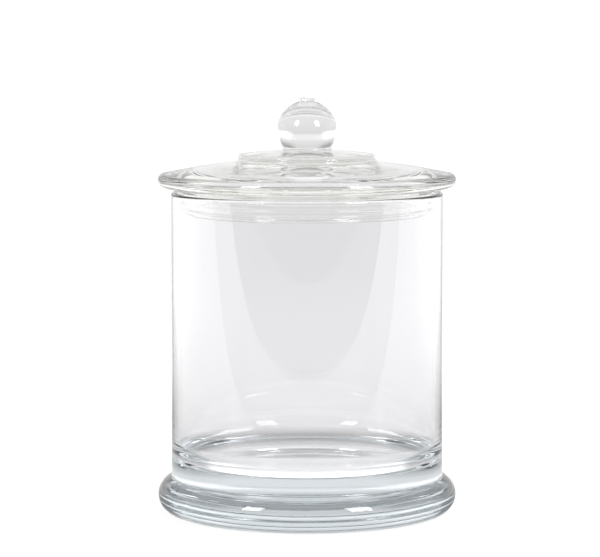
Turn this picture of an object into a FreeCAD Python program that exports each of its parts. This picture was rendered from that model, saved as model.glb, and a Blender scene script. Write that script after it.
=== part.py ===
import FreeCAD, Part
import math
import os

import Sketcher

# Straight-sided glass jar with a flared foot, and the knobbed glass lid and
# ribbed silicone seal that close it. Every piece is turned about +Z, in
# millimetres, with the origin at the middle of the face it stands on.

SIZES = {
    # jar
    "foot_radius": 50.0,
    "foot_bead": 6.2,
    "foot_bead_height": 6.0,
    "body_radius": 45.5,
    "wall": 2.2,
    "rim_height": 107.4,
    "floor_height": 16.6,
    "waist_fillet": 0.8,
    "rim_fillet": 1.0,
    "floor_fillet": 8.0,
    "hollow_radius": 41.5,
    "hollow_depth": 1.2,
    # lid
    "lid_radius": 49.9,
    "lid_bead": 2.35,
    "lid_underside": 109.05,
    "dome_radius": 228.0,
    "boss_radius": 23.1,
    "boss_edge": 1.3,
    "boss_edge_height": 118.9,
    "boss_crown": 170.0,
    "boss_top": 121.3,
    "cove_fillet": 0.6,
    "plug_inner": 37.6,
    "plug_bottom": 99.9,
    "plug_fillet": 1.0,
    "lip_radius": 40.9,
    "lip_height": 1.2,
    "groove_radius": 40.2,
    "recess_shoulder": 1.2,
    "recess_fillet": 2.0,
    # knob
    "ball_radius": 9.87,
    "ball_height": 128.1,
    "neck_radius": 8.2,
    "neck_base": 9.9,
    "neck_flare": 1.8,
    "nub_radius": 2.7,
    "nub_top": 139.2,
    "nub_fillet": 0.6,
    # seal
    "clearance": 0.15,
    "band_radius": 41.7,
    "flange_radius": 44.6,
    "flange_fillet": 0.4,
    "fin_count": 3,
    "fin_pitch": 2.1,
    "fin_root": 1.2,
    "fin_tip": 0.35,
    "fin_rise": 0.5,
}

doc = FreeCAD.newDocument("Jar")


def make_sheet():
    sheet = doc.addObject("Spreadsheet::Sheet", "sizes")
    for row, (word, value) in enumerate(SIZES.items(), start=1):
        sheet.set(f"A{row}", word)
        sheet.set(f"B{row}", str(value))
        sheet.setAlias(f"B{row}", word)
    doc.recompute()
    return sheet


sizes = make_sheet()


def size(expression):
    """The number that an expression over the sheet comes to."""
    return float(sizes.evalExpression(expression))


def arc_between(start, end, radius, turn):
    """An arc from start to end; turn is 1 with its centre on the left, -1 on the right."""
    along = end - start
    offset = math.sqrt(radius**2 - along.Length**2 / 4)
    left = FreeCAD.Vector(-along.y, along.x, 0).normalize()
    centre = (start + end) / 2 + left * offset * turn
    first, last = (start, end) if turn > 0 else (end, start)
    circle = Part.Circle(centre, FreeCAD.Vector(0, 0, 1), radius)
    angles = [math.atan2(p.y - centre.y, p.x - centre.x) for p in (first, last)]
    return Part.ArcOfCircle(circle, *angles)


def bind_corner(sketch, geometry, point, axis, expression):
    """Hold one coordinate of a sketch point to an expression, or to the axis where it is zero."""
    kind, zero_line = {"x": ("DistanceX", -2), "y": ("DistanceY", -1)}[axis]
    if expression == "0":
        sketch.addConstraint(Sketcher.Constraint("PointOnObject", geometry, point, zero_line))
        return
    index = sketch.addConstraint(
        Sketcher.Constraint(kind, -1, 1, geometry, point, size(expression))
    )
    sketch.setExpression(f"Constraints[{index}]", expression)


def draw_outline(body, name, corners):
    """A closed half-section on the body's XZ plane.

    Each corner is (radius, height) as expressions, counter-clockwise. A third
    value (radius, turn) makes the stretch that leaves the corner an arc.
    """
    sketch = body.newObject("Sketcher::SketchObject", name)
    plane = next(f for f in body.Origin.OriginFeatures if f.Role == "XZ_Plane")
    sketch.AttachmentSupport = (plane, [""])
    sketch.MapMode = "FlatFace"
    points = [FreeCAD.Vector(size(c[0]), size(c[1]), 0) for c in corners]
    ends = []
    for index, corner in enumerate(corners):
        start, end = points[index], points[(index + 1) % len(points)]
        if len(corner) == 2:
            sketch.addGeometry(Part.LineSegment(start, end))
            ends.append((1, 2))
            continue
        radius, turn = corner[2]
        sketch.addGeometry(arc_between(start, end, size(radius), turn))
        ends.append((1, 2) if turn > 0 else (2, 1))
    for index, corner in enumerate(corners):
        following = (index + 1) % len(corners)
        sketch.addConstraint(
            Sketcher.Constraint("Coincident", index, ends[index][1], following, ends[following][0])
        )
        bind_corner(sketch, index, ends[index][0], "x", corner[0])
        bind_corner(sketch, index, ends[index][0], "y", corner[1])
        if len(corner) == 3:
            radius = corner[2][0]
            held = sketch.addConstraint(Sketcher.Constraint("Radius", index, size(radius)))
            sketch.setExpression(f"Constraints[{held}]", radius)
    return sketch


def turn_feature(body, kind, name, corners):
    """A full Revolution or Groove of a half-section about the body's own Z axis."""
    sketch = draw_outline(body, f"{name}Outline", corners)
    feature = body.newObject(f"PartDesign::{kind}", name)
    feature.Profile = sketch
    feature.ReferenceAxis = (sketch, ["V_Axis"])
    feature.Angle = 360
    doc.recompute()
    return feature


def round_edges(body, name, radius, rings):
    """Fillet the circular edges of the body's tip that lie at these (radius, height) places."""
    tip = body.Tip
    names = []
    for ring_radius, ring_height in rings:
        for index, edge in enumerate(tip.Shape.Edges, start=1):
            if edge.Degenerated or not isinstance(edge.Curve, Part.Circle):
                continue
            curve = edge.Curve
            if abs(curve.Radius - size(ring_radius)) > 1e-4:
                continue
            if abs(curve.Center.z - size(ring_height)) < 1e-4 and abs(curve.Axis.z) > 0.99:
                names.append(f"Edge{index}")
    if len(names) != len(rings):
        raise RuntimeError(f"{name}: {len(names)} edges found for {len(rings)} rings")
    fillet = body.newObject("PartDesign::Fillet", name)
    fillet.Base = (tip, names)
    fillet.setExpression("Radius", radius)
    doc.recompute()
    return fillet


def new_body(label):
    body = doc.addObject("PartDesign::Body", label)
    body.Label = label
    body.Placement = FreeCAD.Placement()
    return body


def make_jar():
    """The jar: one piece of glass with a bead for a foot and a heavy floor."""
    body = new_body("jar_body")
    bead = "sizes.foot_bead"
    bead_height = "sizes.foot_bead_height"
    bead_centre = "(sizes.foot_radius - sizes.foot_bead)"
    ring = f"{bead_centre} + sqrt({bead}^2 - {bead_height}^2)"
    waist = f"{bead_height} + sqrt({bead}^2 - (sizes.body_radius - {bead_centre})^2)"
    inner = "sizes.body_radius - sizes.wall"
    turn_feature(
        body,
        "Revolution",
        "Blank",
        [
            ("0", "0"),
            (ring, "0", (bead, 1)),
            ("sizes.foot_radius", bead_height, (bead, 1)),
            ("sizes.body_radius", waist),
            ("sizes.body_radius", "sizes.rim_height"),
            ("0", "sizes.rim_height"),
        ],
    )
    turn_feature(
        body,
        "Groove",
        "Cavity",
        [
            ("0", "sizes.floor_height"),
            (inner, "sizes.floor_height"),
            (inner, "sizes.rim_height + 1"),
            ("0", "sizes.rim_height + 1"),
        ],
    )
    hollow_arc = "(sizes.hollow_radius^2 + sizes.hollow_depth^2) / (2 * sizes.hollow_depth)"
    turn_feature(
        body,
        "Groove",
        "BaseHollow",
        [
            ("0", "0"),
            ("sizes.hollow_radius", "0", (hollow_arc, 1)),
            ("0", "sizes.hollow_depth"),
        ],
    )
    round_edges(body, "Waist", "sizes.waist_fillet", [("sizes.body_radius", waist)])
    round_edges(
        body,
        "Rim",
        "sizes.rim_fillet",
        [("sizes.body_radius", "sizes.rim_height"), (inner, "sizes.rim_height")],
    )
    round_edges(body, "Floor", "sizes.floor_fillet", [(inner, "sizes.floor_height")])
    return body


def make_lid():
    """The lid: a domed disc with a bead for a rim, a crowned boss on top and a plug below."""
    body = new_body("lid_disc")
    bead = "sizes.lid_bead"
    underside = "sizes.lid_underside"
    bead_centre = "(sizes.lid_radius - sizes.lid_bead)"
    bead_height = "(sizes.lid_underside + sizes.lid_bead)"
    dome = "sizes.dome_radius"
    dome_centre = f"({bead_height} - sqrt(({dome} - {bead})^2 - {bead_centre}^2))"
    stretch = f"({dome} / ({dome} - {bead}))"
    boss_foot = f"{dome_centre} + sqrt({dome}^2 - sizes.boss_radius^2)"
    edge = "sizes.boss_edge"
    edge_centre = "(sizes.boss_radius - sizes.boss_edge)"
    edge_height = "sizes.boss_edge_height"
    crown = "sizes.boss_crown"
    crown_centre = f"({edge_height} - sqrt(({crown} - {edge})^2 - {edge_centre}^2))"
    crown_stretch = f"({crown} / ({crown} - {edge}))"
    turn_feature(
        body,
        "Revolution",
        "Disc",
        [
            ("0", underside),
            (bead_centre, underside, (bead, 1)),
            ("sizes.lid_radius", bead_height, (bead, 1)),
            (
                f"{bead_centre} * {stretch}",
                f"{dome_centre} + ({bead_height} - {dome_centre}) * {stretch}",
                (dome, 1),
            ),
            ("sizes.boss_radius", boss_foot),
            ("sizes.boss_radius", edge_height, (edge, 1)),
            (
                f"{edge_centre} * {crown_stretch}",
                f"{crown_centre} + ({edge_height} - {crown_centre}) * {crown_stretch}",
                (crown, 1),
            ),
            (f"sqrt({crown}^2 - (sizes.boss_top - {crown_centre})^2)", "sizes.boss_top"),
            ("0", "sizes.boss_top"),
        ],
    )
    round_edges(body, "BossCove", "sizes.cove_fillet", [("sizes.boss_radius", boss_foot)])
    lip_top = "sizes.plug_bottom + sizes.lip_height"
    turn_feature(
        body,
        "Revolution",
        "Plug",
        [
            ("sizes.plug_inner", "sizes.plug_bottom"),
            ("sizes.lip_radius", "sizes.plug_bottom"),
            ("sizes.lip_radius", lip_top),
            ("sizes.groove_radius", lip_top),
            ("sizes.groove_radius", f"{underside} + 1"),
            ("sizes.plug_inner", f"{underside} + 1"),
        ],
    )
    shoulder = f"{underside} + sizes.recess_shoulder"
    turn_feature(
        body,
        "Groove",
        "Recess",
        [
            ("0", f"{underside} - 1"),
            ("sizes.plug_inner", f"{underside} - 1"),
            ("sizes.plug_inner", shoulder, (dome, 1)),
            ("0", f"{shoulder} + {dome} - sqrt({dome}^2 - sizes.plug_inner^2)"),
        ],
    )
    round_edges(
        body,
        "PlugEdges",
        "sizes.plug_fillet",
        [("sizes.plug_inner", "sizes.plug_bottom"), ("sizes.lip_radius", "sizes.plug_bottom")],
    )
    round_edges(body, "RecessEdge", "sizes.recess_fillet", [("sizes.plug_inner", shoulder)])
    return body


def make_knob():
    """The knob: a solid ball on a flared neck, with the small nub its mould leaves."""
    body = new_body("lid_knob")
    ball = "sizes.ball_radius"
    height = "sizes.ball_height"
    turn_feature(
        body,
        "Revolution",
        "Ball",
        [
            ("0", "sizes.boss_top"),
            ("sizes.neck_base", "sizes.boss_top", ("sizes.neck_flare", -1)),
            ("sizes.neck_radius", f"{height} - sqrt({ball}^2 - sizes.neck_radius^2)", (ball, 1)),
            (ball, height, (ball, 1)),
            ("sizes.nub_radius", f"{height} + sqrt({ball}^2 - sizes.nub_radius^2)"),
            ("sizes.nub_radius", "sizes.nub_top"),
            ("0", "sizes.nub_top"),
        ],
    )
    round_edges(body, "NubEdge", "sizes.nub_fillet", [("sizes.nub_radius", "sizes.nub_top")])
    return body


def make_seal():
    """The seal: a silicone band on the plug, with three fins and a flange over the jar's rim."""
    body = new_body("seal_ring")
    gap = "sizes.clearance"
    inner = f"sizes.groove_radius + {gap}"
    bottom = f"sizes.plug_bottom + sizes.lip_height + {gap}"
    flange_bottom = f"sizes.rim_height + {gap}"
    flange_top = f"sizes.lid_underside - {gap}"
    turn_feature(
        body,
        "Revolution",
        "Band",
        [
            (inner, bottom),
            ("sizes.band_radius", bottom),
            ("sizes.band_radius", flange_bottom),
            ("sizes.flange_radius", flange_bottom),
            ("sizes.flange_radius", flange_top),
            (inner, flange_top),
        ],
    )
    round_edges(
        body,
        "FlangeEdge",
        "sizes.flange_fillet",
        [("sizes.flange_radius", flange_bottom), ("sizes.flange_radius", flange_top)],
    )
    tip = f"sizes.body_radius - sizes.wall - {gap}"
    root = "sizes.band_radius - 0.2"
    low = f"{bottom} + 0.1"
    fin = turn_feature(
        body,
        "Revolution",
        "Fin",
        [
            (root, low),
            (tip, f"{low} + sizes.fin_rise"),
            (tip, f"{low} + sizes.fin_rise + sizes.fin_tip"),
            (root, f"{low} + sizes.fin_root"),
        ],
    )
    pattern = body.newObject("PartDesign::LinearPattern", "Fins")
    pattern.Originals = [fin]
    upward = next(f for f in body.Origin.OriginFeatures if f.Role == "Z_Axis")
    pattern.Direction = (upward, [""])
    pattern.setExpression("Occurrences", "sizes.fin_count")
    pattern.setExpression("Length", "sizes.fin_pitch * (sizes.fin_count - 1)")
    body.Tip = pattern
    doc.recompute()
    return body


def check_document(bodies):
    """Stop on any object that failed to build, and on any body that isn't one valid solid."""
    for item in doc.Objects:
        if "Invalid" in item.State or "Error" in item.State:
            raise RuntimeError(f"{item.Name} is {item.State}")
    for body in bodies:
        if body.Shape.isNull() or not body.Shape.isValid():
            raise RuntimeError(f"{body.Label} has no valid shape")
        if len(body.Shape.Solids) != 1:
            raise RuntimeError(f"{body.Label} has {len(body.Shape.Solids)} solids")


def main():
    bodies = [make_jar(), make_lid(), make_knob(), make_seal()]
    doc.recompute()
    check_document(bodies)
    os.makedirs("parts", exist_ok=True)
    for body in bodies:
        body.Shape.exportStep(f"parts/{body.Label}.step")


main()
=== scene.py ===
import math

import bmesh
import bpy
from bpy.props import FloatProperty, FloatVectorProperty, IntProperty, PointerProperty
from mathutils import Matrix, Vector, noise


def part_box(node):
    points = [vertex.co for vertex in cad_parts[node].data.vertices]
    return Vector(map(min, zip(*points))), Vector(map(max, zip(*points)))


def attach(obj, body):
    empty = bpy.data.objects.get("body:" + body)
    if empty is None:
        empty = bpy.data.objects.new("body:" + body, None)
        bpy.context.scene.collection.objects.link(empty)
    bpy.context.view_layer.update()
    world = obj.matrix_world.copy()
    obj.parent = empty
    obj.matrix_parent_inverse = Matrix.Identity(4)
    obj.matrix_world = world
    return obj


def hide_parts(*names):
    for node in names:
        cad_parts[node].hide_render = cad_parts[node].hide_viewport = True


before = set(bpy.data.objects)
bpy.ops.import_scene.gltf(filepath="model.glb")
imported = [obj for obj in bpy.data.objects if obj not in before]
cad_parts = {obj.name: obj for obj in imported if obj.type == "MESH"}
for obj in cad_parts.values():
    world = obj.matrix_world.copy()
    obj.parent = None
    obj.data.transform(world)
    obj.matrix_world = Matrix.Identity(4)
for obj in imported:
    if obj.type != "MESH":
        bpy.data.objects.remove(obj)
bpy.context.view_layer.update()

bl_info = {
    "name": "Knobbed glass jar",
    "version": (1, 0, 0),
    "blender": (4, 5, 0),
    "location": "3D View > Sidebar > Glass Jar",
    "description": "Turns the glass and silicone of a lidded jar and sets its studio",
    "category": "Object",
}

JAR_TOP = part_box("jar_body")[1]
LID_BOTTOM, LID_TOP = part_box("lid_disc")
KNOB_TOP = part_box("lid_knob")[1]
SEAL_BOTTOM, SEAL_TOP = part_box("seal_ring")

TURN_STEPS = 240
ARC_STEP = math.radians(5)
SHARP_ANGLE = math.radians(28)

# The handmade knob: how far it is out of round, how far its nub is, and how deep the nub ripples.
KNOB_SWELL = 0.012
KNOB_SWELL_SCALE = 110
NUB_SWELL = 0.35
NUB_SWELL_SCALE = 420
NUB_RIPPLE = 0.0004
NUB_DEPTH = 0.0015

# Marks of handling: (noise scale, noise detail, value where the mark starts, value where it is full).
SMUDGE_PATCHES = (38.0, 3.0, 0.58, 0.74)
SMUDGE_PRINTS = (260.0, 4.0, 0.45, 0.62)
DUSTY_PATCHES = (90.0, 2.0, 0.6, 0.66)
DUST_SCALE = 420.0
DUST_SIZE = (0.06, 0.1)

# Drag lines in the glass: how much finer than the swells, and how far drawn out along the axis.
DRAG_FINENESS = 3.0
DRAG_STRETCH = (1.0, 1.0, 0.12)

# How light the white wall is from the floor up to the ceiling: (sine of the elevation, share).
WALL_LEVELS = (
    (0.0, 0.85),
    (0.05, 0.9),
    (0.08, 1.05),
    (0.17, 1.05),
    (0.22, 0.9),
    (0.38, 0.8),
    (0.46, 0.6),
    (0.6, 0.8),
    (0.8, 0.9),
    (0.9, 0.3),
)

# The side walls lie between two bearings, with a soft width, and change over two heights.
SIDE_WALLS = (85, 150, 12)
SIDE_HEIGHTS = (0.15, 0.4)

# The unlit room ends over these bearings, and at its top over these heights.
ROOM_SIDES = (70, 110)
ROOM_TOP = (0.7, 0.9)

# The jar's painted shadow in the floor's glow as seen in the glass, lighter right under the jar:
# (share of its reach from the axis, share of the light left).
SHADOW_REACH = 0.3
SHADOW_LEVELS = (
    (0.0, 1.15),
    (0.13, 1.1),
    (0.17, 0.3),
    (0.21, 0.6),
    (0.27, 0.95),
    (1.0, 1.0),
)

# The painted shadow seen direct: the distances over which it fades, and what it leaves at the foot.
CONTACT_REACH = (0.05, 0.1)
CONTACT_SHARE = 0.86

# The mirrored floor's painted light: where its brighter near and far zones fade in, from the axis,
# and on which bearings.
NEAR_ZONE = (0.3, 0.2)
FAR_ZONE = (0.2, 0.4)
FRONT_END = (60, 68)
FLANK_START = (52, 60)
EDGE_FADE = 0.004

FLOOR_HALF_WIDTH = 30.0

# Softboxes: (name, place, width, height, power).
SOFTBOX_AIM = (0, 0, 0.05)
SOFTBOXES = (
    ("left softbox", (-0.9, -0.9, 0.75), 0.35, 0.5, 8),
    ("right softbox", (0.9, -0.95, 0.75), 0.45, 0.6, 12),
)


def length(name, description, default):
    """A length in metres that a user can change."""
    return FloatProperty(
        name=name, description=description, default=default, unit="LENGTH", precision=5, min=0.0
    )


# ---------------------------------------------------------------- settings


class JarSettings(bpy.types.PropertyGroup):
    foot_bead: length("Foot bead", "Radius of the half-round bead it stands on", 0.0062)
    bead_height: length("Bead height", "Height of the bead's middle", 0.006)
    body_radius: length("Body radius", "Outside radius of the wall", 0.0455)
    wall: length("Wall", "Thickness of the wall", 0.0022)
    floor_height: length("Floor height", "Height of the floor inside", 0.0166)
    waist_round: length("Waist round", "Radius where the wall meets the bead", 0.0008)
    rim_round: length("Rim round", "Radius of the rim's edges", 0.001)
    floor_round: length("Floor round", "Radius where the floor meets the wall", 0.008)
    hollow_radius: length("Hollow radius", "Radius of the hollow underneath", 0.0415)
    hollow_depth: length("Hollow depth", "Depth of the hollow underneath", 0.0012)


class LidSettings(bpy.types.PropertyGroup):
    bead: length("Rim bead", "Radius of the lid's rounded rim", 0.00235)
    underside: length("Underside", "Height of the face that rests on the seal", 0.10905)
    dome_radius: length("Dome radius", "Radius of the dome's curve", 0.228)
    boss_radius: length("Boss radius", "Radius of the raised disc under the knob", 0.0231)
    boss_edge: length("Boss edge", "Radius of the boss's rounded edge", 0.0013)
    edge_height: length("Boss edge height", "Height of the middle of that edge", 0.1189)
    crown: length("Boss crown", "Radius of the curve over the boss", 0.17)
    cove: length("Cove", "Radius where the boss meets the dome", 0.0012)
    plug_inner: length("Plug inner radius", "Inside radius of the hollow plug", 0.0376)
    plug_round: length("Plug round", "Radius of the plug's lower edges", 0.001)
    lip_radius: length("Lip radius", "Radius of the lip that holds the seal", 0.0409)
    lip_height: length("Lip height", "Height of that lip", 0.0012)
    groove_radius: length("Groove radius", "Radius of the groove the seal sits in", 0.0402)
    shoulder: length("Shoulder", "Depth of the recess at its edge", 0.0012)
    recess_round: length("Recess round", "Radius at the recess's edge", 0.002)


class KnobSettings(bpy.types.PropertyGroup):
    ball_height: length("Ball height", "Height of the ball's middle", 0.1281)
    neck_round: length("Neck round", "Radius of the hollow curve between ball and boss", 0.0009)
    nub_radius: length("Nub radius", "Radius of the nub on top", 0.0027)
    nub_round: length("Nub round", "Radius of the nub's edge", 0.0006)


class SealSettings(bpy.types.PropertyGroup):
    band_radius: length("Band radius", "Outside radius of the band", 0.0417)
    flange_round: length("Flange round", "Radius of the flange's edge", 0.0004)
    fin_count: IntProperty(name="Fins", description="Fins round the band", default=3, min=1)
    fin_start: length("Fin start", "From the band's lower edge to the first fin", 0.0001)
    fin_pitch: length("Fin pitch", "Distance from fin to fin", 0.0021)
    fin_root: length("Fin root", "Thickness of a fin where it leaves the band", 0.0012)
    fin_tip: length("Fin tip", "Thickness of a fin at its tip", 0.00035)
    fin_rise: length("Fin rise", "How far the tip's lower edge is above the root's", 0.0005)
    fin_radius: length("Fin radius", "Radius of a fin's tip", 0.04315)


class GlassSettings(bpy.types.PropertyGroup):
    tint: FloatVectorProperty(
        name="Tint",
        description="Colour that a great thickness of the glass takes on",
        default=(0.4, 0.6, 0.68),
        subtype="COLOR",
        size=3,
        min=0.0,
        max=1.0,
    )
    lid_tint: FloatVectorProperty(
        name="Lid tint",
        description="Colour that a great thickness of the lid's glass takes on",
        default=(0.76, 0.8, 0.64),
        subtype="COLOR",
        size=3,
        min=0.0,
        max=1.0,
    )
    surface: FloatVectorProperty(
        name="Surface",
        description="What the faces of the glass let through",
        default=(0.995, 0.99, 1.0),
        subtype="COLOR",
        size=3,
        min=0.0,
        max=1.0,
    )
    density: FloatProperty(
        name="Tint density", description="How soon the tint shows", default=3.4, min=0.0
    )
    ior: FloatProperty(name="IOR", description="Index of refraction", default=1.5, min=1.0)


class StageSettings(bpy.types.PropertyGroup):
    floor_colour: FloatVectorProperty(
        name="Floor",
        description="Colour of the floor",
        default=(0.2, 0.2, 0.2),
        subtype="COLOR",
        size=3,
        min=0.0,
        max=1.0,
    )
    # The floor glows with painted light: these levels stand in for how it is lit, seen direct, in the
    # glass and in reflections.
    clean_glow: FloatProperty(
        name="Clean glow", description="Light of the floor seen direct", default=1.0, min=0.0
    )
    floor_glow: FloatProperty(
        name="Floor glow", description="Light of the floor seen in the glass", default=0.7, min=0.0
    )
    flank_glow: FloatProperty(
        name="Flank glow",
        description="Light of the floor that reflections find near the jar, at its sides and behind",
        default=1.35,
        min=0.0,
    )
    # Past this edge the floor's glow is painted shade, which only reflections find.
    edge: length("Painted shade edge", "How far in front of the jar the lit floor ends", 0.26)
    shade: FloatProperty(
        name="Shade",
        description="Light that reflections find beyond that edge",
        default=0.04,
        min=0.0,
    )
    side_low: FloatProperty(
        name="Side low",
        description="Light low on the side walls, as a share of the back wall's",
        default=1.4,
        min=0.0,
    )
    side_high: FloatProperty(
        name="Side high",
        description="Light high on the side walls, as a share of the back wall's",
        default=0.7,
        min=0.0,
    )
    wall_glow: FloatProperty(
        name="Wall glow", description="Light of the white wall behind", default=0.9, min=0.0
    )
    camera_distance: length("Camera distance", "From the jar's axis to the camera", 1.0)
    camera_height: length("Camera height", "Height of the camera", 0.1771)
    aim_height: length("Aim height", "Height on the jar's axis that it looks at", 0.0783)
    lens: FloatProperty(name="Lens", description="Focal length in mm", default=180.0, min=1.0)
    shift: FloatProperty(
        name="Shift", description="Sideways shift of the view", default=-0.0117, precision=4
    )


# ---------------------------------------------------------------- turning


class Outline:
    """A half-section drawn in the XZ plane, one stretch after another, then turned about Z."""

    def __init__(self, radius, height):
        self.mesh = bmesh.new()
        self.first = self.mesh.verts.new((radius, 0, height))
        self.last = self.first

    def line(self, radius, height):
        corner = self.mesh.verts.new((radius, 0, height))
        self.mesh.edges.new((self.last, corner))
        self.last = corner
        return self

    def arc(self, radius, height, degrees):
        """Carry on round the point (radius, height); positive degrees run counter-clockwise."""
        angle = math.radians(degrees)
        swept = bmesh.ops.spin(
            self.mesh,
            geom=[self.last],
            cent=(radius, 0, height),
            axis=(0, -1, 0),
            angle=angle,
            steps=max(2, math.ceil(abs(angle) / ARC_STEP)),
        )
        self.last = next(v for v in swept["geom_last"] if isinstance(v, bmesh.types.BMVert))
        return self

    def close(self):
        self.mesh.edges.new((self.last, self.first))
        return self

    def turn(self):
        """Spin the outline once round into a closed skin and give back its bmesh."""
        bmesh.ops.spin(
            self.mesh,
            geom=self.mesh.verts[:] + self.mesh.edges[:],
            axis=(0, 0, 1),
            angle=math.tau,
            steps=TURN_STEPS,
            use_merge=True,
        )
        bmesh.ops.remove_doubles(self.mesh, verts=self.mesh.verts, dist=1e-6)
        bmesh.ops.recalc_face_normals(self.mesh, faces=self.mesh.faces)
        return self.mesh


def finish_piece(name, skin, material, body, nodes):
    """Make the object, shade it smooth except at its sharp edges, and hand it to the frame."""
    for face in skin.faces:
        face.smooth = True
    for edge in skin.edges:
        edge.smooth = edge.calc_face_angle(0) < SHARP_ANGLE
    mesh = bpy.data.meshes.new(name)
    skin.to_mesh(mesh)
    skin.free()
    piece = bpy.data.objects.new(name, mesh)
    bpy.context.scene.collection.objects.link(piece)
    mesh.materials.append(material)
    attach(piece, body)
    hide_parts(*nodes)
    return piece


# ---------------------------------------------------------------- node groups


def new_group(name, inputs, outputs):
    """An empty shader node group with these sockets, and its input and output nodes."""
    group = bpy.data.node_groups.new(name, "ShaderNodeTree")
    for label, kind in inputs:
        group.interface.new_socket(name=label, in_out="INPUT", socket_type=kind)
    for label, kind in outputs:
        group.interface.new_socket(name=label, in_out="OUTPUT", socket_type=kind)
    return group, group.nodes.new("NodeGroupInput"), group.nodes.new("NodeGroupOutput")


def math_node(tree, operation, first, second):
    node = tree.nodes.new("ShaderNodeMath")
    node.operation = operation
    for socket, value in zip(node.inputs, (first, second)):
        if isinstance(value, (int, float)):
            socket.default_value = value
        else:
            tree.links.new(value, socket)
    return node.outputs[0]


def noise_node(tree, vector, scale, detail, stretch=None):
    """Noise over a vector, which stretch first multiplies along each axis."""
    if stretch:
        mapping = tree.nodes.new("ShaderNodeMapping")
        mapping.inputs["Scale"].default_value = stretch
        tree.links.new(vector, mapping.inputs["Vector"])
        vector = mapping.outputs[0]
    node = tree.nodes.new("ShaderNodeTexNoise")
    node.inputs["Detail"].default_value = detail
    tree.links.new(vector, node.inputs["Vector"])
    if isinstance(scale, (int, float)):
        node.inputs["Scale"].default_value = scale
    else:
        tree.links.new(scale, node.inputs["Scale"])
    return node.outputs["Fac"]


def map_range(tree, value, low, high, to_low=0.0, to_high=1.0):
    node = tree.nodes.new("ShaderNodeMapRange")
    tree.links.new(value, node.inputs["Value"])
    node.inputs["From Min"].default_value = low
    node.inputs["From Max"].default_value = high
    node.inputs["To Min"].default_value = to_low
    node.inputs["To Max"].default_value = to_high
    return node.outputs["Result"]


def noise_mask(tree, vector, scale, detail, low, high):
    """Patches where noise rises from the low value to the high one."""
    return map_range(tree, noise_node(tree, vector, scale, detail), low, high)


def build_waviness():
    """Soft unevenness of moulded glass: broad swells with finer drag lines down the wall."""
    group, given, result = new_group(
        "Glass waviness",
        [("Vector", "NodeSocketVector"), ("Scale", "NodeSocketFloat"), ("Drag", "NodeSocketFloat")],
        [("Height", "NodeSocketFloat")],
    )
    swell = noise_node(group, given.outputs["Vector"], given.outputs["Scale"], 1.5)
    drag_scale = math_node(group, "MULTIPLY", given.outputs["Scale"], DRAG_FINENESS)
    drag = noise_node(group, given.outputs["Vector"], drag_scale, 2.0, DRAG_STRETCH)
    drag = math_node(group, "MULTIPLY", drag, given.outputs["Drag"])
    height = math_node(group, "ADD", swell, drag)
    group.links.new(height, result.inputs["Height"])
    return group


def build_handling():
    """Where glass has been handled: faint smudges, and a scatter of fine dust specks."""
    group, given, result = new_group(
        "Handling marks",
        [("Vector", "NodeSocketVector"), ("Smudge", "NodeSocketFloat"), ("Dust", "NodeSocketFloat")],
        [("Roughness", "NodeSocketFloat")],
    )
    vector = given.outputs["Vector"]
    patches = noise_mask(group, vector, *SMUDGE_PATCHES)
    prints = noise_mask(group, vector, *SMUDGE_PRINTS)
    smudge = math_node(group, "MULTIPLY", patches, prints)
    smudge = math_node(group, "MULTIPLY", smudge, given.outputs["Smudge"])
    cells = group.nodes.new("ShaderNodeTexVoronoi")
    cells.inputs["Scale"].default_value = DUST_SCALE
    group.links.new(vector, cells.inputs["Vector"])
    specks = map_range(group, cells.outputs["Distance"], *DUST_SIZE, 1.0, 0.0)
    sparse = noise_mask(group, vector, *DUSTY_PATCHES)
    dust = math_node(group, "MULTIPLY", specks, sparse)
    dust = math_node(group, "MULTIPLY", dust, given.outputs["Dust"])
    total = math_node(group, "ADD", smudge, dust)
    group.links.new(total, result.inputs["Roughness"])
    return group


def place_group(tree, name, build, vector, **values):
    """Put a shared group into a material with the material's own values."""
    node = tree.nodes.new("ShaderNodeGroup")
    node.node_tree = bpy.data.node_groups.get(name) or build()
    tree.links.new(vector, node.inputs["Vector"])
    for label, value in values.items():
        node.inputs[label].default_value = value
    return node.outputs[0]


# ---------------------------------------------------------------- materials


def new_material(name):
    """A material with its node tree, shader, output and the object's own coordinates."""
    material = bpy.data.materials.new(name)
    material.use_nodes = True
    tree = material.node_tree
    shader = tree.nodes["Principled BSDF"]
    output = tree.nodes["Material Output"]
    place = tree.nodes.new("ShaderNodeTexCoord").outputs["Object"]
    return material, tree, shader, output, place


def bump(tree, shader, height, depth):
    node = tree.nodes.new("ShaderNodeBump")
    node.inputs["Strength"].default_value = 1.0
    node.inputs["Distance"].default_value = depth
    tree.links.new(height, node.inputs["Height"])
    tree.links.new(node.outputs["Normal"], shader.inputs["Normal"])


def glass_material(name, tint, scale, swell, smudge):
    """Clear glass that takes its tint from its thickness.

    swell is (height, depth, height, depth): the waviness runs from the first
    depth to the second between those two heights.
    """
    look = bpy.context.scene.jar_glass
    material, tree, shader, output, place = new_material(name)
    shader.inputs["Base Color"].default_value = (*look.surface, 1.0)
    shader.inputs["Transmission Weight"].default_value = 1.0
    shader.inputs["IOR"].default_value = look.ior
    split = tree.nodes.new("ShaderNodeSeparateXYZ")
    tree.links.new(place, split.inputs[0])
    wave = place_group(tree, "Glass waviness", build_waviness, place, Scale=scale, Drag=0.25)
    low, low_depth, high, high_depth = swell
    depth = map_range(tree, split.outputs["Z"], low, high, low_depth, high_depth)
    bump(tree, shader, math_node(tree, "MULTIPLY", wave, depth), 1.0)
    marks = place_group(tree, "Handling marks", build_handling, place, Smudge=smudge, Dust=0.3)
    tree.links.new(marks, shader.inputs["Roughness"])
    absorb = tree.nodes.new("ShaderNodeVolumeAbsorption")
    absorb.inputs["Color"].default_value = (*tint, 1.0)
    absorb.inputs["Density"].default_value = look.density
    tree.links.new(absorb.outputs["Volume"], output.inputs["Volume"])
    return material


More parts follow.
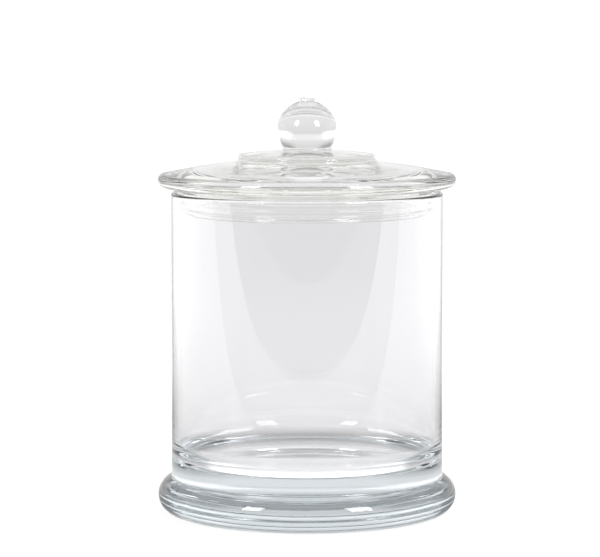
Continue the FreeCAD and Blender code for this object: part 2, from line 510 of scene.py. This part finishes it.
def silicone_material():
    """Clear silicone, slightly warm and hazy, with the fine grain of its mould."""
    material, tree, shader, _output, place = new_material("Clear silicone")
    shader.inputs["Base Color"].default_value = (0.985, 0.995, 0.97, 1.0)
    shader.inputs["Transmission Weight"].default_value = 1.0
    shader.inputs["IOR"].default_value = 1.08
    grain = noise_node(tree, place, 900.0, 3.0)
    bump(tree, shader, grain, 0.000003)
    haze = map_range(tree, noise_node(tree, place, 120.0, 3.0), 0.3, 0.7, 0.08, 0.2)
    tree.links.new(haze, shader.inputs["Roughness"])
    return material


# ---------------------------------------------------------------- pieces


class JAR_OT_body(bpy.types.Operator):
    """Turn the jar: foot bead, wall, rim and heavy floor in one piece of glass"""

    bl_idname = "glass_jar.body"
    bl_label = "Jar"

    def execute(self, context):
        jar = context.scene.jar_body
        foot = JAR_TOP.x
        top = JAR_TOP.z
        bead_centre = foot - jar.foot_bead
        ring = math.degrees(math.asin(jar.bead_height / jar.foot_bead))
        waist_reach = jar.foot_bead + jar.waist_round
        waist_centre = jar.body_radius + jar.waist_round
        waist_height = jar.bead_height + math.sqrt(
            waist_reach**2 - (waist_centre - bead_centre) ** 2
        )
        waist = math.degrees(math.acos((waist_centre - bead_centre) / waist_reach))
        inner = jar.body_radius - jar.wall
        hollow = (jar.hollow_radius**2 + jar.hollow_depth**2) / (2 * jar.hollow_depth)
        outline = Outline(0, jar.hollow_depth)
        hollow_angle = math.degrees(math.asin(jar.hollow_radius / hollow))
        outline.arc(0, jar.hollow_depth - hollow, -hollow_angle)
        outline.line(bead_centre + jar.foot_bead * math.cos(math.radians(ring)), 0)
        outline.arc(bead_centre, jar.bead_height, ring + waist)
        outline.arc(waist_centre, waist_height, -waist)
        outline.line(jar.body_radius, top - jar.rim_round)
        outline.arc(jar.body_radius - jar.rim_round, top - jar.rim_round, 90)
        outline.line(inner + jar.rim_round, top)
        outline.arc(inner + jar.rim_round, top - jar.rim_round, 90)
        outline.line(inner, jar.floor_height + jar.floor_round)
        outline.arc(inner - jar.floor_round, jar.floor_height + jar.floor_round, -90)
        outline.line(0, jar.floor_height)
        glass = glass_material(
            "Jar glass",
            context.scene.jar_glass.tint,
            60.0,
            (0.012, 0.00005, 0.024, 0.000002),
            0.05,
        )
        finish_piece("jar_glass", outline.turn(), glass, "jar", ["jar_body"])
        return {"FINISHED"}


def draw_plug(outline, lid):
    """The recess and the hollow plug, from the recess's middle to the underside."""
    shoulder = lid.underside + lid.shoulder
    drop = math.sqrt(lid.dome_radius**2 - lid.plug_inner**2)
    centre = shoulder - drop
    corner = lid.plug_inner - lid.recess_round
    reach = lid.dome_radius - lid.recess_round
    corner_height = centre + math.sqrt(reach**2 - corner**2)
    tilt = math.degrees(math.asin(corner / reach))
    outline.arc(0, centre, -tilt)
    outline.arc(corner, corner_height, tilt - 90)
    outline.line(lid.plug_inner, LID_BOTTOM.z + lid.plug_round)
    outline.arc(lid.plug_inner + lid.plug_round, LID_BOTTOM.z + lid.plug_round, 90)
    outline.line(lid.lip_radius - lid.plug_round, LID_BOTTOM.z)
    outline.arc(lid.lip_radius - lid.plug_round, LID_BOTTOM.z + lid.plug_round, 90)
    outline.line(lid.lip_radius, LID_BOTTOM.z + lid.lip_height)
    outline.line(lid.groove_radius, LID_BOTTOM.z + lid.lip_height)
    outline.line(lid.groove_radius, lid.underside)


def draw_disc(outline, lid):
    """The rim bead, the dome and the boss's edge, from the underside to the crown."""
    bead_centre = LID_TOP.x - lid.bead
    bead_height = lid.underside + lid.bead
    reach = lid.dome_radius - lid.bead
    dome_centre = bead_height - math.sqrt(reach**2 - bead_centre**2)
    rim_tilt = math.degrees(math.asin(bead_centre / reach))
    cove_radius = lid.boss_radius + lid.cove
    cove_reach = lid.dome_radius + lid.cove
    cove_height = dome_centre + math.sqrt(cove_reach**2 - cove_radius**2)
    cove_tilt = math.degrees(math.asin(cove_radius / cove_reach))
    outline.line(bead_centre, lid.underside)
    outline.arc(bead_centre, bead_height, 180 - rim_tilt)
    outline.arc(0, dome_centre, rim_tilt - cove_tilt)
    outline.arc(cove_radius, cove_height, cove_tilt - 90)
    outline.line(lid.boss_radius, lid.edge_height)
    outline.arc(lid.boss_radius - lid.boss_edge, lid.edge_height, 90 - crown_tilt(lid))


def crown_centre(lid):
    """Height of the centre of the curve over the boss."""
    reach = lid.crown - lid.boss_edge
    return lid.edge_height - math.sqrt(reach**2 - (lid.boss_radius - lid.boss_edge) ** 2)


def crown_tilt(lid):
    """Degrees from the axis to where the crown meets the boss's edge."""
    return math.degrees(
        math.asin((lid.boss_radius - lid.boss_edge) / (lid.crown - lid.boss_edge))
    )


def draw_knob(outline, lid, knob):
    """The crown, the neck, the ball and the nub, from the boss's edge to the top."""
    ball = KNOB_TOP.x
    low = crown_centre(lid)
    rise = knob.ball_height - low
    to_ball = ball + knob.neck_round
    to_crown = lid.crown + knob.neck_round
    tilt = math.acos((to_crown**2 + rise**2 - to_ball**2) / (2 * to_crown * rise))
    neck_radius = to_crown * math.sin(tilt)
    neck_height = low + to_crown * math.cos(tilt)
    below = math.degrees(math.atan2(knob.ball_height - neck_height, neck_radius))
    tilt = math.degrees(tilt)
    nub_angle = math.degrees(math.acos(knob.nub_radius / ball))
    outline.arc(0, low, crown_tilt(lid) - tilt)
    outline.arc(neck_radius, neck_height, tilt - below - 90)
    outline.arc(0, knob.ball_height, below + nub_angle)
    outline.line(knob.nub_radius, KNOB_TOP.z - knob.nub_round)
    outline.arc(knob.nub_radius - knob.nub_round, KNOB_TOP.z - knob.nub_round, 90)
    outline.line(0, KNOB_TOP.z)


def unsettle_knob(skin, knob):
    """Take the hand-made ball a little out of round, and its nub more so."""
    nub_foot = KNOB_TOP.z - NUB_DEPTH
    for corner in skin.verts:
        if corner.co.z < knob.ball_height - KNOB_TOP.x / 2:
            continue
        swell = noise.noise(corner.co * KNOB_SWELL_SCALE)
        corner.co.x *= 1 + KNOB_SWELL * swell
        corner.co.y *= 1 + KNOB_SWELL * swell
        if corner.co.z > nub_foot:
            ripple = noise.noise(corner.co * NUB_SWELL_SCALE)
            corner.co.x *= 1 + NUB_SWELL * ripple
            corner.co.y *= 1 + NUB_SWELL * ripple
            corner.co.z -= NUB_RIPPLE * (1 + ripple)


class JAR_OT_lid(bpy.types.Operator):
    """Turn the lid: hollow plug, beaded disc, boss and the ball fused on top"""

    bl_idname = "glass_jar.lid"
    bl_label = "Lid and knob"

    def execute(self, context):
        lid = context.scene.jar_lid
        recess_top = (
            lid.underside
            + lid.shoulder
            + lid.dome_radius
            - math.sqrt(lid.dome_radius**2 - lid.plug_inner**2)
        )
        outline = Outline(0, recess_top)
        draw_plug(outline, lid)
        draw_disc(outline, lid)
        draw_knob(outline, lid, context.scene.jar_knob)
        glass = glass_material(
            "Lid glass",
            context.scene.jar_glass.lid_tint,
            90.0,
            (0.114, 0.00003, 0.122, 0.000008),
            0.04,
        )
        skin = outline.turn()
        unsettle_knob(skin, context.scene.jar_knob)
        finish_piece("lid_glass", skin, glass, "lid", ["lid_disc", "lid_knob"])
        return {"FINISHED"}


class JAR_OT_seal(bpy.types.Operator):
    """Turn the seal: the band in the plug's groove, its fins and its flange"""

    bl_idname = "glass_jar.seal"
    bl_label = "Seal"

    def execute(self, context):
        seal = context.scene.jar_seal
        lid = context.scene.jar_lid
        gap = lid.underside - SEAL_TOP.z
        inner = lid.groove_radius + gap
        flange = SEAL_TOP.x - seal.flange_round
        flange_bottom = JAR_TOP.z + gap
        outline = Outline(inner, SEAL_BOTTOM.z)
        outline.line(seal.band_radius, SEAL_BOTTOM.z)
        for index in range(seal.fin_count):
            root = SEAL_BOTTOM.z + seal.fin_start + index * seal.fin_pitch
            outline.line(seal.band_radius, root)
            outline.line(seal.fin_radius, root + seal.fin_rise)
            outline.line(seal.fin_radius, root + seal.fin_rise + seal.fin_tip)
            outline.line(seal.band_radius, root + seal.fin_root)
        outline.line(seal.band_radius, flange_bottom)
        outline.line(flange, flange_bottom)
        outline.arc(flange, flange_bottom + seal.flange_round, 90)
        outline.line(SEAL_TOP.x, SEAL_TOP.z - seal.flange_round)
        outline.arc(flange, SEAL_TOP.z - seal.flange_round, 90)
        outline.line(inner, SEAL_TOP.z)
        outline.close()
        finish_piece(
            "seal_silicone",
            outline.turn(),
            silicone_material(),
            "seal",
            ["seal_ring"],
        )
        return {"FINISHED"}


# ---------------------------------------------------------------- stage


def between(tree, value, low, high, soft):
    """1 where the value lies between low and high, fading to 0 over the soft width outside."""
    rise = map_range(tree, value, low - soft, low)
    fall = map_range(tree, value, high, high + soft, 1.0, 0.0)
    return math_node(tree, "MULTIPLY", rise, fall)


def bearing(tree, split):
    """Degrees round the jar from the camera's side, the same to the left as to the right."""
    toward = math_node(tree, "MULTIPLY", split.outputs["Y"], -1.0)
    aside = math_node(tree, "ABSOLUTE", split.outputs["X"], 0.0)
    return math_node(tree, "MULTIPLY", math_node(tree, "ARCTAN2", aside, toward), math.degrees(1))


def mix_values(tree, factor, first, second):
    node = tree.nodes.new("ShaderNodeMix")
    node.data_type = "FLOAT"
    tree.links.new(factor, node.inputs["Factor"])
    for socket, value in ((node.inputs["A"], first), (node.inputs["B"], second)):
        if isinstance(value, (int, float)):
            socket.default_value = value
        else:
            tree.links.new(value, socket)
    return node.outputs["Result"]


def grey_ramp(tree, value, levels):
    """A level that follows these (position, level) pairs as the value runs from 0 to 1."""
    node = tree.nodes.new("ShaderNodeValToRGB")
    tree.links.new(value, node.inputs["Fac"])
    ramp = node.color_ramp
    while len(ramp.elements) < len(levels):
        ramp.elements.new(0.5)
    for element, (position, level) in zip(ramp.elements, levels):
        element.position = position
        element.color = (level, level, level, 1.0)
    return node.outputs["Color"]


def by_path(tree, direct, through, mirrored):
    """Light as seen direct, through glass, or mirrored on its way."""
    path = tree.nodes.new("ShaderNodeLightPath")
    turned = math_node(tree, "GREATER_THAN", path.outputs["Glossy Depth"], 0.5)
    indirect = mix_values(tree, turned, through, mirrored)
    return mix_values(tree, path.outputs["Is Camera Ray"], indirect, direct)


def build_floor(stage):
    """A pale floor that glows with painted light instead of being lit by lamps. Reflections find
    painted shade in front of its edge and painted light elsewhere.
    """
    skin = bmesh.new()
    bmesh.ops.create_grid(skin, x_segments=1, y_segments=1, size=FLOOR_HALF_WIDTH)
    mesh = bpy.data.meshes.new("floor")
    skin.to_mesh(mesh)
    skin.free()
    floor = bpy.data.objects.new("floor", mesh)
    bpy.context.scene.collection.objects.link(floor)
    material, tree, shader, _output, place = new_material("Pale floor with painted light")
    split = tree.nodes.new("ShaderNodeSeparateXYZ")
    tree.links.new(place, split.inputs[0])
    measure = tree.nodes.new("ShaderNodeVectorMath")
    measure.operation = "LENGTH"
    tree.links.new(place, measure.inputs[0])
    away = measure.outputs["Value"]
    turned = bearing(tree, split)
    # Painted light: reflections find the floor brighter at its flanks and behind, far off, and close
    # to the jar in front.
    flank = map_range(tree, turned, *FLANK_START)
    flank = math_node(tree, "MULTIPLY", flank, map_range(tree, away, *FAR_ZONE))
    near = map_range(tree, turned, *FRONT_END, 1.0, 0.0)
    near = math_node(tree, "MULTIPLY", near, map_range(tree, away, *NEAR_ZONE))
    mirrored = mix_values(tree, flank, stage.floor_glow, stage.flank_glow)
    mirrored = mix_values(tree, near, mirrored, stage.flank_glow)
    # Painted shade: in front of the edge, reflections find the floor's glow turned down to the shade
    # level.
    unlit = map_range(
        tree, split.outputs["Y"], -stage.edge - EDGE_FADE, -stage.edge, 1.0, 0.0
    )
    mirrored = mix_values(tree, unlit, mirrored, stage.shade)
    # Painted shadow of the jar in the glow that the glass and reflections find, with painted light
    # right under the jar.
    shadow = grey_ramp(tree, math_node(tree, "DIVIDE", away, SHADOW_REACH), SHADOW_LEVELS)
    mirrored = math_node(tree, "MULTIPLY", shadow, mirrored)
    through = math_node(tree, "MULTIPLY", shadow, stage.floor_glow)
    # Painted contact shadow round the foot, in the glow seen direct.
    contact = map_range(tree, away, *CONTACT_REACH, CONTACT_SHARE, 1.0)
    direct = math_node(tree, "MULTIPLY", contact, stage.clean_glow)
    glow = by_path(tree, direct, through, mirrored)
    shader.inputs["Base Color"].default_value = (*stage.floor_colour, 1.0)
    shader.inputs["Roughness"].default_value = 0.9
    shader.inputs["Specular IOR Level"].default_value = 0.0
    # The floor's light is painted: an emission whose strength stands in for how it is lit.
    shader.inputs["Emission Color"].default_value = (1.0, 1.0, 1.0, 1.0)
    tree.links.new(glow, shader.inputs["Emission Strength"])
    mesh.materials.append(material)


def build_world(stage):
    """White walls, a dim ceiling, and an unlit room in front that only reflections find."""
    world = bpy.data.worlds.new("Studio")
    world.use_nodes = True
    bpy.context.scene.world = world
    tree = world.node_tree
    background = tree.nodes["Background"]
    direction = tree.nodes.new("ShaderNodeTexCoord").outputs["Generated"]
    split = tree.nodes.new("ShaderNodeSeparateXYZ")
    tree.links.new(direction, split.inputs[0])
    height = split.outputs["Z"]
    turned = bearing(tree, split)
    wall = math_node(
        tree, "MULTIPLY", grey_ramp(tree, height, WALL_LEVELS), stage.wall_glow
    )
    share = map_range(tree, height, *SIDE_HEIGHTS, stage.side_low, stage.side_high)
    side = mix_values(tree, between(tree, turned, *SIDE_WALLS), 1.0, share)
    wall = math_node(tree, "MULTIPLY", wall, side)
    front = map_range(tree, turned, *ROOM_SIDES, 1.0, 0.0)
    front = math_node(tree, "MULTIPLY", front, map_range(tree, height, *ROOM_TOP, 1.0, 0.0))
    room = mix_values(tree, front, wall, stage.shade)
    strength = by_path(tree, stage.clean_glow, wall, room)
    background.inputs["Color"].default_value = (1.0, 1.0, 1.0, 1.0)
    tree.links.new(strength, background.inputs["Strength"])


def add_softbox(name, place, width, height, power):
    """A rectangular area light at a place, turned to face the jar."""
    data = bpy.data.lights.new(name, "AREA")
    data.shape = "RECTANGLE"
    data.size = width
    data.size_y = height
    data.energy = power
    light = bpy.data.objects.new(name, data)
    bpy.context.scene.collection.objects.link(light)
    light.location = place
    facing = Vector(SOFTBOX_AIM) - Vector(place)
    light.rotation_euler = facing.to_track_quat("-Z", "Y").to_euler()


def add_camera(stage):
    data = bpy.data.cameras.new("camera")
    data.lens = stage.lens
    data.sensor_width = 36
    data.shift_x = stage.shift
    data.clip_end = 100
    camera = bpy.data.objects.new("camera", data)
    bpy.context.scene.collection.objects.link(camera)
    camera.location = (0, -stage.camera_distance, stage.camera_height)
    drop = stage.camera_height - stage.aim_height
    camera.rotation_euler = (math.pi / 2 - math.atan2(drop, stage.camera_distance), 0, 0)
    bpy.context.scene.camera = camera


class JAR_OT_stage(bpy.types.Operator):
    """Set the pale floor, the white walls, the softboxes and the camera"""

    bl_idname = "glass_jar.stage"
    bl_label = "Stage"

    def execute(self, context):
        stage = context.scene.jar_stage
        build_floor(stage)
        build_world(stage)
        for softbox in SOFTBOXES:
            add_softbox(*softbox)
        add_camera(stage)
        context.scene.view_settings.view_transform = "Standard"
        cycles = context.scene.cycles
        cycles.max_bounces = 40
        cycles.transmission_bounces = 40
        cycles.glossy_bounces = 12
        cycles.sample_clamp_indirect = 6.0
        return {"FINISHED"}


# ---------------------------------------------------------------- panel


class JAR_PT_panel(bpy.types.Panel):
    bl_idname = "JAR_PT_panel"
    bl_label = "Glass Jar"
    bl_space_type = "VIEW_3D"
    bl_region_type = "UI"
    bl_category = "Glass Jar"

    def draw(self, context):
        for operator in OPERATORS:
            self.layout.operator(operator.bl_idname)
        for word, (group, _label) in SCENE_SETTINGS.items():
            box = self.layout.box()
            for prop in group.__annotations__:
                box.prop(getattr(context.scene, word), prop)


SCENE_SETTINGS = {
    "jar_body": (JarSettings, "Jar"),
    "jar_lid": (LidSettings, "Lid"),
    "jar_knob": (KnobSettings, "Knob"),
    "jar_seal": (SealSettings, "Seal"),
    "jar_glass": (GlassSettings, "Glass"),
    "jar_stage": (StageSettings, "Stage"),
}
OPERATORS = (JAR_OT_body, JAR_OT_lid, JAR_OT_seal, JAR_OT_stage)


def register():
    for word, (group, label) in SCENE_SETTINGS.items():
        bpy.utils.register_class(group)
        setattr(bpy.types.Scene, word, PointerProperty(type=group, name=label))
    for operator in OPERATORS:
        bpy.utils.register_class(operator)
    bpy.utils.register_class(JAR_PT_panel)


def unregister():
    bpy.utils.unregister_class(JAR_PT_panel)
    for operator in reversed(OPERATORS):
        bpy.utils.unregister_class(operator)
    for word, (group, _label) in SCENE_SETTINGS.items():
        delattr(bpy.types.Scene, word)
        bpy.utils.unregister_class(group)


def main():
    register()
    bpy.ops.glass_jar.body()
    bpy.ops.glass_jar.lid()
    bpy.ops.glass_jar.seal()
    bpy.ops.glass_jar.stage()


if __name__ == "__main__":
    main()
